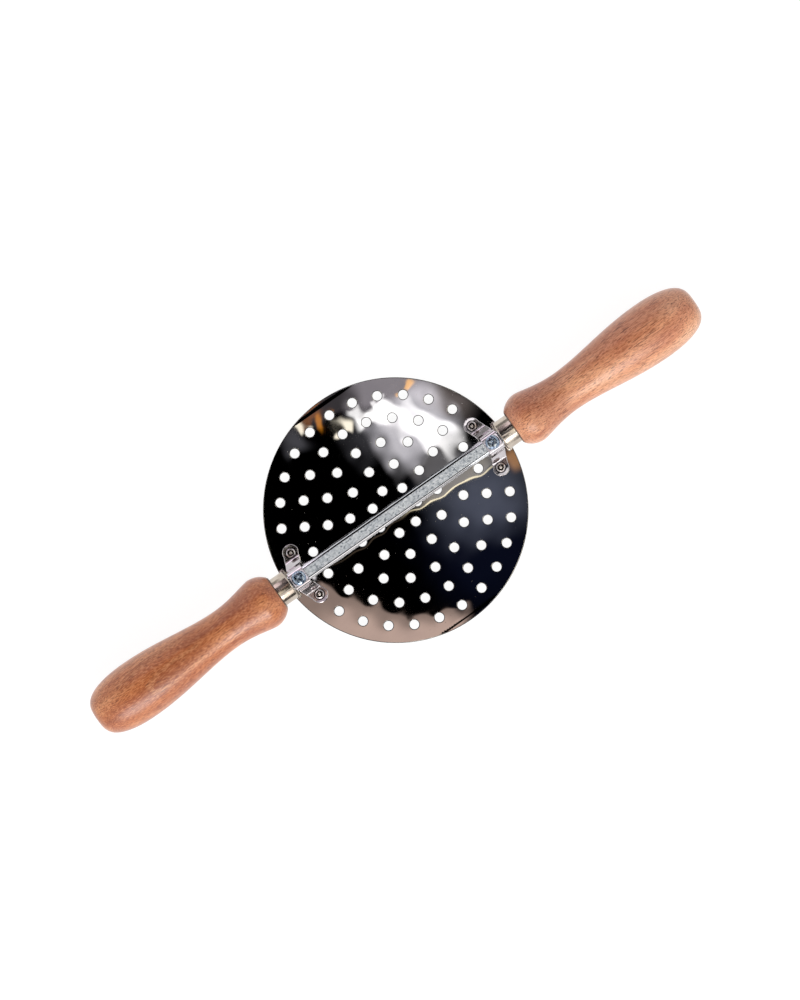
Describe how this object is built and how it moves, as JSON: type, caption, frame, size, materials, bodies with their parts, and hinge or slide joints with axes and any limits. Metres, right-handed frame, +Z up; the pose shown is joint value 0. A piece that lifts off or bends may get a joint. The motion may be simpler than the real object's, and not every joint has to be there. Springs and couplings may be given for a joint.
{
  "type": "passatelli press",
  "caption": "Two-handed passatelli press: a rolled perforated steel disc under a square cross bar, with turned wooden handles on both ends.",
  "frame": {"origin": "on the table under the middle of the disc, with the press standing on the heads of its four rivets", "axes": "+X along the bar to the right handle, +Y to the rear edge of the disc, +Z up from the working side to the bar"},
  "size_m": [0.3812, 0.14, 0.0359],
  "materials": {
    "polished_steel": "mirror-polished stainless sheet",
    "zinc_plate": "satin zinc plate",
    "strap_steel": "polished stainless strap",
    "blue_zinc": "blue-passivated zinc plate",
    "rivet_steel": "plain drawn steel",
    "mandrel_steel": "bright drawn wire",
    "nickel_ferrule": "warm nickel plate",
    "beech": "varnished steamed beech"
  },
  "bodies": {
    "root": {"perforated_disc": "polished_steel", "cross_bar": "zinc_plate", "left_bracket": "strap_steel", "right_bracket": "strap_steel", "left_clamp_screw": "blue_zinc", "right_clamp_screw": "blue_zinc", "left_rear_rivet": "rivet_steel", "left_front_rivet": "rivet_steel", "right_rear_rivet": "rivet_steel", "right_front_rivet": "rivet_steel", "left_rear_mandrel": "mandrel_steel", "left_front_mandrel": "mandrel_steel", "right_rear_mandrel": "mandrel_steel", "right_front_mandrel": "mandrel_steel", "left_ferrule": "nickel_ferrule", "right_ferrule": "nickel_ferrule", "left_handle": "beech", "right_handle": "beech"}
  },
  "joints": []
}
